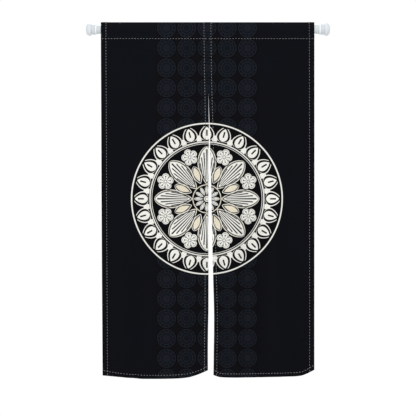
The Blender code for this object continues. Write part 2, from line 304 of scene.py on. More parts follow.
@dataclass
class PanelShape:
    """The surface of one hung panel, as a function of share and way."""

    side: Side
    sizes: ClothSizes
    tables: PanelTables
    centre: float
    top: float
    small: ReliefSizes = ReliefSizes()
    pocket_front: tuple[Array, Array, Array] = field(init=False)
    pocket_back: tuple[Array, Array, Array] = field(init=False)

    def __post_init__(self) -> None:
        """Works out the two sides of the rod pocket."""
        self.pocket_front = self.pocket_side(self.sizes.front_of_axis)
        self.pocket_back = self.pocket_side(self.sizes.back_of_axis)

    @property
    def width(self) -> float:
        """The panel's width at the top fold."""
        return float(np.diff(self.edges(np.array(0.0)))[0])

    @property
    def front_length(self) -> float:
        """The way from the top fold to the pocket's stitch line, down the front."""
        return float(self.pocket_front[0][-1])

    @property
    def back_length(self) -> float:
        """The way from the top fold to the pocket's stitch line, down the back."""
        return float(self.pocket_back[0][-1])

    def pocket_side(self, stitch_y: float) -> tuple[Array, Array, Array]:
        """One side of the pocket's section, from the top fold to the stitch line.

        An arc over the fold, a straight run to where it touches a circle round the tube, an arc on
        that circle, and a straight run to the stitch line.

        Args:
            stitch_y: How far the cloth's face stands off the rod's plane at the stitch line.

        Returns:
            The way, the distance off the rod's plane and the height, as three arrays.
        """
        radius, fold_radius = self.sizes.pocket_radius, self.sizes.top_fold_radius
        fold_centre = self.top - fold_radius
        lean = math.asin((radius - fold_radius) / fold_centre)
        fold_points, tube_points, run_points = POCKET_POINTS
        over = np.linspace(0.0, math.pi / 2 - lean, fold_points)
        fold = np.stack([fold_radius * np.sin(over), fold_centre + fold_radius * np.cos(over)])
        stitch_z = self.top - self.sizes.pocket_drop
        reach = math.hypot(stitch_y, stitch_z)
        last = math.atan2(stitch_y, stitch_z) - math.acos(radius / reach)
        round_tube = np.linspace(math.pi / 2 - lean, last, tube_points)
        on_tube = radius * np.stack([np.sin(round_tube), np.cos(round_tube)])
        run = np.linspace(0, 1, run_points)[1:]
        straight = on_tube[:, -1:] + (np.array([[stitch_y], [stitch_z]]) - on_tube[:, -1:]) * run
        path = np.concatenate([fold, on_tube, straight], axis=1)
        way = np.concatenate([[0.0], np.cumsum(np.hypot(*np.diff(path)))])
        return way, path[0], path[1]

    def end_way(self, share: Array) -> Array:
        """The way from the top fold to the hem's edge."""
        return self.front_length + read_table(self.tables.hem, share) - self.sizes.pocket_drop

    def hem_stitch(self, share: Array) -> Array:
        """How far the hem's stitch line lies above the hem's edge: more at the corners."""
        return read_table(self.tables.hem_stitch, share)

    def edges(self, drop: Array) -> tuple[Array, Array]:
        """The panel's left and right edges.

        Args:
            drop: Heights below the top fold.

        Returns:
            The across values of the two edges at those drops.
        """
        slit = read_table(LEFT_SLIT_EDGE, drop)
        if self.side is Side.LEFT:
            return read_table(LEFT_OUTER_EDGE, drop), slit
        return slit + read_table(SLIT_WIDTH, drop), read_table(RIGHT_OUTER_EDGE, drop)

    def fold_depth(self, share: Array, drop: Array) -> Array:
        """How far the folds set the cloth back from its own straight plane.

        The sum of the folds. Each is a raised cosine across the panel, times a smooth step from the
        drop where it starts to the one where it is full.

        Args:
            share: Places across the panel.
            drop: Heights below the top fold.

        Returns:
            The depths, positive to the back.
        """
        depth = np.zeros(np.broadcast(share, drop).shape)
        for fold in self.tables.folds:
            reach = np.clip(np.abs(share - fold.share) / fold.half_width, 0, 1)
            grown = ease((drop - fold.start) / (fold.full - fold.start))
            depth = depth + fold.depth * 0.5 * (1 + np.cos(math.pi * reach)) * grown
        return depth

    def base(self, share: Array, way: Array) -> Array:
        """The cloth's outer face without its small relief.

        Args:
            share: Places across the panel.
            way: Distances along the cloth from the top fold.

        Returns:
            Points as an array with x, y, z on its last axis.
        """
        share, way = np.broadcast_arrays(share, way)
        front, back = self.pocket_front, self.pocket_back
        below = np.maximum(way - front[0][-1], 0) + np.maximum(-way - back[0][-1], 0)
        is_front = way >= 0
        length = np.abs(way)
        fronts, backs = ([np.interp(length, side[0], row) for row in side[1:]] for side in (front, back))
        off = np.where(is_front, -fronts[0], backs[0])
        height = np.where(is_front, fronts[1], backs[1]) - below
        drop = self.top - height
        hangs_free = way > front[0][-1]
        off = off + np.where(hangs_free, self.fold_depth(share, drop), 0.0)
        left, right = self.edges(drop)
        return np.stack([self.centre + left + (right - left) * share, off, height], axis=-1)

    def seam_distances(self, share: Array, way: Array) -> tuple[Array, Array, Array]:
        """How far a point lies from the panel's edges.

        Args:
            share: Places across the panel.
            way: Distances along the cloth from the top fold.

        Returns:
            The distances from the outer edge, the slit edge and the hem's edge.
        """
        from_left, from_right = share * self.width, (1 - share) * self.width
        hem = self.end_way(share) - way
        if self.side is Side.LEFT:
            return from_left, from_right, hem
        return from_right, from_left, hem

    def slit_open(self, way: Array) -> Array:
        """Where the slit edge hangs free: 0 along the seam above the slit, 1 below it."""
        drop = self.sizes.pocket_drop + way - self.front_length
        return ease((drop - self.sizes.slit_drop) / self.sizes.slit_ease)

    def relief(self, share: Array, way: Array) -> Array:
        """The small relief of the outer face: sewn lines, puckers, rolled edges and creases.

        Each stitch line is a Gaussian trough. Along it the cloth puckers in sine waves that fade
        away from the line. Inside each line the turned hem lifts the cloth by a smooth step. The
        last millimetres at each free edge roll back, and each crease is a Gaussian trough along a
        straight line that fades at its two ends.

        Args:
            share: Places across the panel.
            way: Distances along the cloth from the top fold.

        Returns:
            Heights above the base face, negative where the cloth is drawn in.
        """
        share, way = np.broadcast_arrays(share, way)
        outer, slit, hem = self.seam_distances(share, way)
        sizes, small = self.sizes, self.small
        across = share * small.even_width
        off_outer, off_slit = outer - sizes.outer_stitch, slit - sizes.inner_stitch
        off_hem = hem - self.hem_stitch(share)
        height = np.zeros(share.shape)
        lines = (
            (off_outer, way, 1.0),
            (off_slit, way + small.slit_phase, 1.0),
            (off_hem, across, 1.0),
            (way - self.front_length, across + small.row_phase, small.row_strength),
            (way + self.back_length, across + small.row_phase, small.row_strength),
        )
        for off_line, along, strength in lines:
            trough = np.exp(-((off_line / small.trough_reach) ** 2))
            near = np.exp(-((off_line / small.pucker_reach) ** 2))
            angle = along * 2 * math.pi
            drift = small.pucker_swing * np.sin(angle / small.pucker_drift)
            waves = np.sin(angle / small.pucker_pitch + drift)
            slow = np.sin(angle / small.swell_pitch + small.swell_phase)
            pucker = near * (small.pucker_height * waves + small.swell_height * slow)
            height = height - strength * small.trough_depth * trough + strength * pucker
        for from_edge, amount in ((outer, 1.0), (slit, self.slit_open(way)), (hem, 1.0)):
            height = height - small.roll_depth * np.exp(-from_edge / small.roll_reach) * amount
        past_hem = np.minimum(np.minimum(off_outer, off_slit), off_hem) - sizes.past_stitch
        height = height + small.hem_lift * ease(0.5 - past_hem / small.hem_step)
        drop = sizes.pocket_drop + way - self.front_length
        for crease in self.tables.creases:
            height = height - self.crease_depth(crease, share, drop)
        return height

    def crease_depth(self, crease: Crease, share: Array, drop: Array) -> Array:
        """The depth of one crease.

        Args:
            crease: The crease.
            share: Places across the panel.
            drop: Heights below the top fold, worked out from the way.

        Returns:
            The crease's depth at each point.
        """
        small = self.small
        x, x0, x1 = (place * small.even_width for place in (share, crease.from_share, crease.to_share))
        dx, dz = x1 - x0, crease.to_drop - crease.from_drop
        length = math.hypot(dx, dz)
        z = drop - crease.from_drop
        along = ((x - x0) * dx + z * dz) / length**2
        off = ((x - x0) * dz - z * dx) / length
        wander = small.crease_wander * np.sin(along * small.wander_waves + x0 * small.wander_spread)
        ends = ease(along / small.crease_fade_in) * ease((1 - along) / small.crease_fade_out)
        return crease.depth * np.exp(-(((off + wander) / crease.width) ** 2)) * ends

    def normals(self, share: Array, way: Array) -> Array:
        """The outer face's unit normals, from the cross product of small steps on the base face."""
        step = self.small.normal_step
        over = self.base(share + step, way) - self.base(share - step, way)
        down = self.base(share, way + step) - self.base(share, way - step)
        normal = np.cross(down, over)
        return normal / np.linalg.norm(normal, axis=-1, keepdims=True)

    def points(self, share: Array, way: Array) -> Array:
        """The outer face with its relief, as an array with x, y, z on its last axis."""
        return self.base(share, way) + self.normals(share, way) * self.relief(share, way)[..., None]


def grid_faces(rows: int, columns: int) -> Array:
    """The four-sided faces of a grid of points stored row by row.

    Args:
        rows: Rows of points.
        columns: Points in a row.

    Returns:
        Point numbers of each face, four to a row.
    """
    at = np.arange(rows * columns).reshape(rows, columns)
    corners = (at[:-1, :-1], at[:-1, 1:], at[1:, 1:], at[1:, :-1])
    return np.stack([c.ravel() for c in corners], axis=1)


def add(name: str, data: bpy.types.ID) -> Piece:
    """Adds an object at the origin to the scene."""
    made = bpy.data.objects.new(name, data)
    bpy.context.scene.collection.objects.link(made)
    return made


def make_piece(name: str, points: Array, faces: Array) -> Piece:
    """Makes a smooth shaded mesh object from whole arrays.

    Args:
        name: The piece's name.
        points: Points, with x, y, z on the last axis.
        faces: Point numbers of each four-sided face.

    Returns:
        The object, linked into the scene.
    """
    mesh = bpy.data.meshes.new(name)
    mesh.from_pydata(points.reshape(-1, 3), [], faces)
    mesh.shade_smooth()
    return add(name, mesh)


def add_uv(piece: Piece, name: str, places: Array) -> None:
    """Adds a UV map in metres.

    Args:
        piece: The piece.
        name: The map's name.
        places: Two values for each point.
    """
    mesh = piece.data
    corners = np.empty(len(mesh.loops), dtype=np.int32)
    mesh.loops.foreach_get("vertex_index", corners)
    layer = mesh.uv_layers.new(name=name)
    layer.uv.foreach_set("vector", places.reshape(-1, 2)[corners].astype(np.float32).ravel())


def uneven_steps(marks: list[float], coarse: float, fine: float, reach: float) -> Array:
    """Steps from the first mark to the last, fine near each mark and coarse between.

    Args:
        marks: Places in rising order.
        coarse: The widest step.
        fine: The step near a mark.
        reach: How far from a mark the steps stay fine.

    Returns:
        The places in rising order.
    """
    ruler = np.linspace(marks[0], marks[-1], RULER_POINTS)
    nearest = np.min(np.abs(ruler[:, None] - np.array(marks)[None]), axis=1)
    step = fine + (coarse - fine) * ease((nearest - reach) / (3 * reach))
    count = np.concatenate([[0.0], np.cumsum(np.diff(ruler) / step[:-1])])
    return np.interp(np.linspace(0, count[-1], int(math.ceil(count[-1])) + 1), count, ruler)


class Number:
    """A number that changes over the surface: one output of a node tree, with arithmetic."""

    def __init__(self, tree: Tree, socket: Socket) -> None:
        """Wraps an output socket of the tree."""
        self.tree = tree
        self.socket = socket

    def maths(self, operation: str, *values: "Number | float", clamp: bool = False) -> "Number":
        """Adds one Math node.

        Args:
            operation: Blender's name for the operation.
            values: The node's inputs, in order.
            clamp: Whether the result is held between 0 and 1.

        Returns:
            The node's result.
        """
        inputs = dict(enumerate(values))
        node = wire(self.tree, "ShaderNodeMath", inputs, operation=operation, use_clamp=clamp)
        return Number(self.tree, node.outputs[0])

    def __add__(self, other: "Number | float") -> "Number":
        """Sum."""
        return self.maths("ADD", self, other)

    def __sub__(self, other: "Number | float") -> "Number":
        """Difference."""
        return self.maths("SUBTRACT", self, other)

    def __rsub__(self, other: float) -> "Number":
        """Difference from a plain number."""
        return self.maths("SUBTRACT", other, self)

    def __mul__(self, other: "Number | float") -> "Number":
        """Product."""
        return self.maths("MULTIPLY", self, other)

    def __truediv__(self, other: "Number | float") -> "Number":
        """Quotient."""
        return self.maths("DIVIDE", self, other)

    def line(self, base: float, gain: float) -> "Number":
        """A base plus this number times a gain."""
        return self * gain + base

    def power(self, exponent: float) -> "Number":
        """This number to a power."""
        return self.maths("POWER", self, exponent)

    def size(self) -> "Number":
        """This number without its sign."""
        return self.maths("ABSOLUTE", self)

    def sine(self) -> "Number":
        """Sine."""
        return self.maths("SINE", self)

    def cosine(self) -> "Number":
        """Cosine."""
        return self.maths("COSINE", self)

    def low(self, other: "Number | float") -> "Number":
        """The lower of two numbers."""
        return self.maths("MINIMUM", self, other)

    def high(self, other: "Number | float") -> "Number":
        """The higher of two numbers."""
        return self.maths("MAXIMUM", self, other)

    def cell(self, pitch: float, phase: float = 0.0) -> "Number":
        """Repeats along a line: the distance from the middle of the nearest cell.

        Args:
            pitch: The length of a cell.
            phase: Where the middle of a cell lies.

        Returns:
            A number from minus half a pitch to half a pitch.
        """
        turned = self.maths("MULTIPLY_ADD", self, 1 / pitch, 0.5 - phase / pitch)
        part = self.maths("FRACT", turned)
        return self.maths("MULTIPLY_ADD", part, pitch, -pitch / 2)

    def above(self, edge: "Number | float", soft: float) -> "Number":
        """A mask that rises from 0 to 1 across an edge, half way at the edge."""
        return self.maths("MULTIPLY_ADD", self - edge, 0.5 / soft, 0.5, clamp=True)

    def below(self, edge: "Number | float", soft: float) -> "Number":
        """A mask that falls from 1 to 0 across an edge."""
        return self.maths("MULTIPLY_ADD", self - edge, -0.5 / soft, 0.5, clamp=True)

    def band(self, middle: float, half_width: "Number | float", soft: float) -> "Number":
        """A mask that is 1 on a line round a value, as wide as twice the half width."""
        return (self - middle).size().below(half_width, soft)


def wire(tree: Tree, kind: str, inputs: dict[int | str, object], **settings: object) -> bpy.types.Node:
    """Makes a node.

    Args:
        tree: The tree that it goes into.
        kind: Blender's name for the node.
        inputs: What each input takes: a Number or a socket, which is linked, or a plain value.
        settings: The node's properties, set before its inputs.

    Returns:
        The node.
    """
    node = tree.nodes.new(kind)
    for label, value in settings.items():
        setattr(node, label, value)
    for label, value in inputs.items():
        value = value.socket if isinstance(value, Number) else value
        if isinstance(value, Socket):
            tree.links.new(value, node.inputs[label])
        else:
            node.inputs[label].default_value = value
    return node


def parts(tree: Tree, place: Socket) -> tuple[Number, Number, Number]:
    """The three parts of a vector."""
    split = wire(tree, "ShaderNodeSeparateXYZ", {0: place})
    return tuple(Number(tree, socket) for socket in split.outputs)


class EffectGroup:
    """A shader node group with a Place input and named outputs, built once for many materials."""

    def __init__(self, name: str, outputs: tuple[str, ...]) -> None:
        """Makes the group.

        Args:
            name: The group's name.
            outputs: Names of its outputs, each a value.
        """
        self.tree = bpy.data.node_groups.new(name, "ShaderNodeTree")
        face = self.tree.interface
        face.new_socket("Place", in_out="INPUT", socket_type="NodeSocketVector")
        for label in outputs:
            face.new_socket(label, in_out="OUTPUT", socket_type="NodeSocketFloat")
        self.entry = self.tree.nodes.new("NodeGroupInput")
        self.exit = self.tree.nodes.new("NodeGroupOutput")

    def place(self) -> tuple[Number, Number, Number]:
        """The three parts of the Place input."""
        return parts(self.tree, self.entry.outputs["Place"])

    def give(self, **values: Number) -> None:
        """Sends numbers to the group's outputs, by name."""
        for label, value in values.items():
            self.tree.links.new(value.socket, self.exit.inputs[label])

    def noise(self, scale: float, detail: float, stretch: Point = (1, 1, 1)) -> Number:
        """Noise over the Place input.

        Args:
            scale: Cells in a metre.
            detail: How many finer layers it has.
            stretch: How much the cells are squeezed along each axis.

        Returns:
            A number round 0.5.
        """
        place = self.entry.outputs["Place"]
        squeezed = wire(self.tree, "ShaderNodeMapping", {"Vector": place, "Scale": stretch}).outputs[0]
        inputs = {"Vector": squeezed, "Scale": scale, "Detail": detail}
        return Number(self.tree, wire(self.tree, "ShaderNodeTexNoise", inputs).outputs[0])


@dataclass(frozen=True)
class Weave:
    """Plain weave: warp and weft threads of a cloth, over and under in turn."""

    thread: float = 0.00058
    slub_length: float = 0.060
    wander_cells: float = 120.0
    wander_size: float = 0.00016
    crossing_soft: float = 0.03
    across_power: float = 0.8
    along_power: float = 0.35

    def group(self) -> Tree:
        """Builds the group: Height is the threads' rounded backs, and Shade their uneven dye.

        The product of two cosines, one over x and one over y, tells which thread lies on top. The
        top thread's height is a power of the cosine across it times a weaker power of the one
        along it. The dye is noise drawn out along each thread.

        Returns:
            The node group.
        """
        made = EffectGroup("Plain weave", ("Height", "Shade"))
        x, y, _ = made.place()
        wander = made.noise(self.wander_cells, 2.0) * self.wander_size
        turn = math.pi / self.thread
        warp, weft = ((x + wander) * turn).cosine(), ((y - wander) * turn).cosine()
        on_top = (warp * weft).above(0.0, self.crossing_soft)
        across_warp, across_weft = warp.size(), weft.size()
        warp_back = across_warp.power(self.across_power) * across_weft.power(self.along_power)
        weft_back = across_weft.power(self.across_power) * across_warp.power(self.along_power)
        height = warp_back * on_top + weft_back * (1.0 - on_top)
        fine, long = 0.5 / self.thread, 1 / self.slub_length
        warp_dye, weft_dye = made.noise(1.0, 1.0, (fine, long, 1)), made.noise(1.0, 1.0, (long, fine, 1))
        made.give(Height=height, Shade=warp_dye * on_top + weft_dye * (1.0 - on_top))
        return made.tree


@dataclass(frozen=True)
class MedallionStrip:
    """The tonal round medallions down the middle of the cloth, five to a row.

    Their places and radius are in metres, and the design inside them in shares of the radius. A
    pair is where an edge lies and how soft it is.
    """

    pitch: float = 0.0815
    row_pitch: float = 0.0800
    columns: int = 5
    radius: float = 0.0382
    centre: float = -0.0024
    upper_phase: float = 0.0240
    lower_phase: float = 1.1125
    split_drop: float = 0.7100
    split_soft: float = 0.0001
    strip_spare: float = 0.0008
    strip_soft: float = 0.0006
    dots: int = 12
    dot_across: float = 5.0
    dot_outwards: float = 40.0
    dot_edge: Pair = (0.40, 0.12)
    dot_cut: float = 0.9
    dot_dark: float = 0.7
    petal_edge: Pair = (0.11, 0.03)
    petal_sides: Pair = (0.40, 0.08)
    petal_light: float = 0.7
    core_spokes: float = 8.0
    core_reach: float = 0.50
    core_taper: float = -0.34
    core_soft: float = 0.03
    core_light: float = 0.5
    gap_from: float = 1.06
    rim_at: float = 0.945
    dots_at: float = 0.79
    ring_at: float = 0.635
    inner_at: float = 0.36
    outline_at: float = 1.035
    line_half: float = 0.030
    soft: float = 0.02
    weight_cells: float = 21.0
    weight_range: float = 0.70
    least_weight: float = 0.65

    def group(self) -> Tree:
        """Builds the group: Disc, Line, Outline and Gap are the masks of the four tones.

        Each medallion is a function of the distance from its centre and the angle round it: a rim
        line, a ring of dark dots between two rings, an inner ring and a core. A dark line goes
        round it, and what is left between four of them is the gap, a four-pointed star.

        Returns:
            The node group.
        """
        made = EffectGroup("Medallion strip", ("Disc", "Line", "Outline", "Gap"))
        x, y, _ = made.place()
        in_lower = y.above(self.split_drop, self.split_soft)
        phase = in_lower * (self.lower_phase - self.upper_phase) + self.upper_phase
        column = x - self.centre
        local_x = column.cell(self.pitch)
        local_y = (y - phase).cell(self.row_pitch)
        other = (column / (2 * self.pitch)).cell(1.0).size().above(0.25, self.split_soft)
        strip = column.size().below(self.columns * self.pitch / 2 + self.strip_spare, self.strip_soft)
        reach = (local_x * local_x + local_y * local_y).power(0.5) / self.radius
        turn = local_x.maths("ARCTAN2", local_x, local_y) / (2 * math.pi)
        spoke = (turn * self.dots).cell(1.0)
        half, soft = self.line_half, self.soft
        disc = reach.below(1.0, soft)
        rim, ring = reach.band(self.rim_at, half, soft), reach.band(self.ring_at, half, soft)
        inner = reach.band(self.inner_at, half, soft) * other
        off_ring = reach - self.dots_at
        from_dot = spoke * spoke * self.dot_across + off_ring * off_ring * self.dot_outwards
        dots = from_dot.power(0.5).below(*self.dot_edge)
        petals = reach.band(self.dots_at, *self.petal_edge) * spoke.size().above(*self.petal_sides)
        core_spoke = (turn * self.core_spokes).cell(1.0).size()
        core_edge = core_spoke.line(self.core_reach, self.core_taper)
        core = reach.below(core_edge, self.core_soft) * (1.0 - other)
        lines = rim.high(ring).high(inner).high(petals * self.petal_light).high(core * self.core_light)
        bare = 1.0 - dots * self.dot_cut
        made.give(
            Disc=disc * strip * bare * self.print_weight(made, x - local_x, y - local_y),
            Line=lines * disc * strip * bare,
            Outline=reach.band(self.outline_at, half, soft) * strip + dots * disc * strip * self.dot_dark,
            Gap=reach.above(self.gap_from, soft) * strip,
        )
        return made.tree

    def print_weight(self, made: EffectGroup, x: Number, y: Number) -> Number:
        """How strongly one medallion is printed: noise read at the middle of its cell.

        Args:
            made: The group being built.
            x: The middle of the cell, across.
            y: The middle of the cell, down.

        Returns:
            A number round 1, the same all over a medallion.
        """
        middle = wire(made.tree, "ShaderNodeCombineXYZ", {0: x, 1: y}).outputs[0]
        inputs = {"Vector": middle, "Scale": self.weight_cells}
        noise = Number(made.tree, wire(made.tree, "ShaderNodeTexNoise", inputs).outputs[0])
        return noise.line(self.least_weight, self.weight_range)


class Petals(NamedTuple):
    """A ring of petals: their number, turn, two ends in millimetres, half width and bluntness."""

    count: int
    turn: float
    inner: float
    outer: float
    wide: float
    blunt: float


@dataclass(frozen=True)
class Roundel:
    """The printed roundel: a flower, a ring of small blossoms and a border of scales.

    Its place and outline are in metres, and the design inside it in millimetres. A pair is where a
    line lies and its half width, or where an edge lies and how soft it is. A row of veins is where
    one lies across the petal and the radius where it ends.
    """

    centre_across: float = -0.0028
    centre_drop: float = 0.7110
    radius: float = 0.3057
    rim: float = 0.0052
    edge: float = 0.7
    scales: Petals = Petals(24, 0.0, 236.0, 297.0, 0.46, 0.62)
    wedges: Petals = Petals(24, 0.5, 224.0, 258.0, 0.18, 0.8)
    petals: Petals = Petals(8, 0.0, 58.0, 212.0, 0.36, 0.80)
    leaves: Petals = Petals(8, 0.5, 66.0, 140.0, 0.24, 0.9)
    core: Petals = Petals(12, 0.0, 16.0, 52.0, 0.44, 0.7)
    petal_power: float = 0.62
    petal_inset: float = 1.2
    petal_line: Pair = (7.0, 2.2)
    petal_gold: Pair = (3.2, 1.2)
    gold_light: float = 0.7
    veins: tuple[Pair, ...] = ((0.085, 186.0), (0.165, 168.0), (0.24, 146.0))
    middle_vein: Pair = (0.020, 0.006)
    side_vein: Pair = (0.017, 0.005)
    vein_soft: float = 2.0
    vein_reach: Pair = (138.0, 62.0)
    leaf_line: Pair = (2.4, 1.4)
    leaf_heart: float = 8.5
    rings: tuple[Pair, ...] = ((229.0, 2.2), (221.5, 0.9))
    scale_line: Pair = (2.6, 1.9)
    scale_heart: float = 13.5
    scale_vein: Pair = (0.045, 0.01)
    scale_vein_reach: Pair = (266.0, 12.0)
    border_from: float = 233.0
    border_to: float = 292.0
    blossoms: int = 8
    blossom_ring: float = 181.0
    blossom_radius: float = 33.0
    blossom_soft: float = 0.02
    blossom_line: Pair = (0.86, 0.022)
    blossom_clear: float = 1.14
    lobe_power: float = 0.55
    lobe_least: float = 0.66
    lobe_gain: float = 0.34
    stamens: int = 10
    stamen_sides: Pair = (0.10, 0.04)
    stamen_reach: Pair = (12.5, 5.5)
    stamen_tip: float = 20.5
    stamen_dot: Pair = (4.0, 2.0)
    dot_squeeze: float = 60.0
    blossom_heart: Pair = (5.6, 0.9)
    fine_edge: float = 0.5
    core_inset: float = 1.0
    core_line: Pair = (4.2, 0.7)
    core_ring: Pair = (56.5, 1.6)
    eye: float = 12.0
    eye_ring: Pair = (7.0, 0.9)

    def group(self) -> Tree:
        """Builds the group: Ink and Gold are the masks of the two inks, and Ground the plain disc.

        The design repeats round the centre. A petal's half width is a power of a sine of its own
        height, its outline and veins are lines of the same function, and a blossom is a disc whose
        radius follows the cosine of five times half the angle.

        Returns:
            The node group.
        """
        made = EffectGroup("Printed roundel", ("Ink", "Gold", "Ground"))
        x, y, _ = made.place()
        mm, edge = 1000.0, self.edge
        px, py = (x - self.centre_across) * mm, (self.centre_drop - y) * mm
        r = (px * px + py * py).power(0.5)
        turn = px.maths("ARCTAN2", px, py) / (2 * math.pi)

        def spokes(count: int, phase: float = 0.0) -> Number:
            """The place across one of the repeats round the centre, from -0.5 to 0.5."""
            return (turn * count).cell(1.0, phase)

        def inside(ring: Petals) -> Number:
            """How far inside a petal a point lies, in millimetres."""
            height = ((r - ring.inner) / (ring.outer - ring.inner)).high(0.0).low(1.0)
            half = (height.power(ring.blunt) * math.pi).sine().high(0.0).power(self.petal_power) * ring.wide
            return (half - spokes(ring.count, ring.turn).size()) * r * (2 * math.pi / ring.count)

        outer_radius = self.radius * mm
        rim = r.band(outer_radius - self.rim * mm / 2, self.rim * mm / 2, edge)
        outer_ring, inner_ring = (r.band(*ring, edge) for ring in self.rings)
        rings = outer_ring.high(inner_ring)

        scale = inside(self.scales)
        beside_scale = spokes(self.scales.count).size()
        scale_vein = beside_scale.below(*self.scale_vein) * r.band(*self.scale_vein_reach, edge)
        scale_heart = scale.above(self.scale_heart, edge) * (1.0 - scale_vein)
        border = scale.band(*self.scale_line, edge).high(scale_heart) * r.below(self.border_to, edge)
        wedge = inside(self.wedges).above(self.petal_inset, edge) * r.above(self.border_from, edge)
        border = border.high(wedge)

        angle = spokes(self.blossoms, 0.5) * (2 * math.pi / self.blossoms)
        across, up = angle.sine() * r, angle.cosine() * r - self.blossom_ring
        rho = (across * across + up * up).power(0.5)
        phi = across.maths("ARCTAN2", across, up)
        lobe = (phi * 2.5).cosine().size()
        outline = lobe.power(self.lobe_power).line(self.lobe_least, self.lobe_gain)
        reach = rho / (outline * self.blossom_radius)
        soft = self.blossom_soft
        blossom = reach.below(1.0, soft) * (1.0 - reach.band(*self.blossom_line, soft))
        stamen_spoke = (phi * (self.stamens / (2 * math.pi))).cell(1.0).size()
        stamens = stamen_spoke.below(*self.stamen_sides) * rho.band(*self.stamen_reach, self.fine_edge)
        off_tip = rho - self.stamen_tip
        from_tip = stamen_spoke * stamen_spoke * self.dot_squeeze + off_tip * off_tip
        stamen_dots = from_tip.below(*self.stamen_dot)
        heart = rho.band(*self.blossom_heart, self.fine_edge)
        blossom_ink = blossom * (1.0 - stamens.high(stamen_dots).high(heart))

        petal = inside(self.petals)
        beside = spokes(self.petals.count).size()
        vein_lines = beside.below(*self.middle_vein)
        for place, vein_end in self.veins:
            line = (beside - place).size().below(*self.side_vein)
            vein_lines = vein_lines.high(line * r.below(vein_end, self.vein_soft))
        vein_lines = vein_lines * r.band(*self.vein_reach, self.vein_soft)
        petal_ink = petal.above(self.petal_inset, edge) * (1.0 - petal.band(*self.petal_line, edge))
        petal_ink = petal_ink * (1.0 - vein_lines)

        leaf = inside(self.leaves)
        leaf_heart = leaf.above(self.leaf_heart, edge)
        core_petal = inside(self.core)
        core = core_petal.above(self.core_inset, edge) * (1.0 - core_petal.band(*self.core_line, edge))
        core_ring = r.band(*self.core_ring, edge)
        eye = r.below(self.eye, edge) * (1.0 - r.band(*self.eye_ring, edge))

        ink = petal_ink * reach.above(self.blossom_clear, soft)
        leaf_ink = leaf.band(*self.leaf_line, edge).high(leaf_heart)
        for more in (blossom_ink, leaf_ink, rim, border, rings, core, core_ring, eye):
            ink = ink.high(more)
        gold = core_ring.high(leaf_heart).high(petal.band(*self.petal_gold, edge) * self.gold_light)
        made.give(Ink=ink, Gold=gold * ink, Ground=r.below(outer_radius, edge))
        return made.tree


@dataclass(frozen=True)
class Unevenness:
    """Slow unevenness of colour and wear, at two sizes, in cells to a metre."""

    clouds: float = 4.5
    specks: float = 260.0

    def group(self) -> Tree:
        """Builds the group: Slow is broad clouds and Fine is small specks, both round 0.5."""
        made = EffectGroup("Unevenness", ("Slow", "Fine"))
        made.give(Slow=made.noise(self.clouds, 3.0), Fine=made.noise(self.specks, 3.0))
        return made.tree


class Palette:
    """The shared effects, each built once."""

    def __init__(self) -> None:
        """Builds the node groups."""
        self.weave = Weave().group()
        self.medallions = MedallionStrip().group()
        self.roundel = Roundel().group()
        self.uneven = Unevenness().group()


@dataclass
class Material:
    """A material under construction: its node tree, shader and helpers."""

    name: str
    tree: Tree = field(init=False)
    made: bpy.types.Material = field(init=False)
    shader: bpy.types.Node = field(init=False)

    def __post_init__(self) -> None:
        """Makes the material with a Principled BSDF."""
        self.made = bpy.data.materials.new(self.name)
        self.made.use_nodes = True
        self.tree = self.made.node_tree
        self.shader = self.tree.nodes["Principled BSDF"]

    def set(self, **values: float | tuple[float, float, float, float]) -> None:
        """Sets shader sockets, an underscore in a name standing for a space."""
        for label, value in values.items():
            self.shader.inputs[label.replace("_", " ")].default_value = value

    def uv(self, name: str) -> Socket:
        """A UV map of the piece."""
        return wire(self.tree, "ShaderNodeUVMap", {}, uv_map=name).outputs[0]

    def own_place(self) -> Socket:
        """The piece's own coordinates, in metres."""
        return self.tree.nodes.new("ShaderNodeTexCoord").outputs["Object"]

    def effect(self, group: Tree, place: Socket) -> dict[str, Number]:
        """Places a shared effect at coordinates in metres, and gives its outputs by name."""
        node = wire(self.tree, "ShaderNodeGroup", {"Place": place}, node_tree=group)
        return {socket.name: Number(self.tree, socket) for socket in node.outputs}

    def mix(self, mask: Number, base: Tone, over: Tone) -> Socket:
        """Mixes two colours, each linear or a socket: a mask of 0 gives the first and 1 the second."""
        base, over = ((*tone, 1.0) if isinstance(tone, tuple) else tone for tone in (base, over))
        return wire(self.tree, "ShaderNodeMix", {0: mask, 6: base, 7: over}, data_type="RGBA").outputs[2]

    def shade(self, colour: Socket, factor: Number) -> Socket:
        """Multiplies a colour by a number.

        Args:
            colour: The colour.
            factor: The number.

        Returns:
            The product.
        """
        grey = wire(self.tree, "ShaderNodeCombineColor", dict.fromkeys(range(3), factor)).outputs[0]
        inputs = {0: 1.0, 6: colour, 7: grey}
        return wire(self.tree, "ShaderNodeMix", inputs, data_type="RGBA", blend_type="MULTIPLY").outputs[2]

    def bump(self, height: Number, strength: float, distance: float) -> None:
        """Feeds a height from 0 to 1 to the shader's normal; 1 stands for the distance, in metres."""
        inputs = {"Strength": strength, "Distance": distance, "Height": height}
        self.feed("Normal", wire(self.tree, "ShaderNodeBump", inputs).outputs[0])

    def feed(self, label: str, value: Number | Socket) -> None:
        """Links a number or colour to a shader socket."""
        socket = value.socket if isinstance(value, Number) else value
        self.tree.links.new(socket, self.shader.inputs[label])


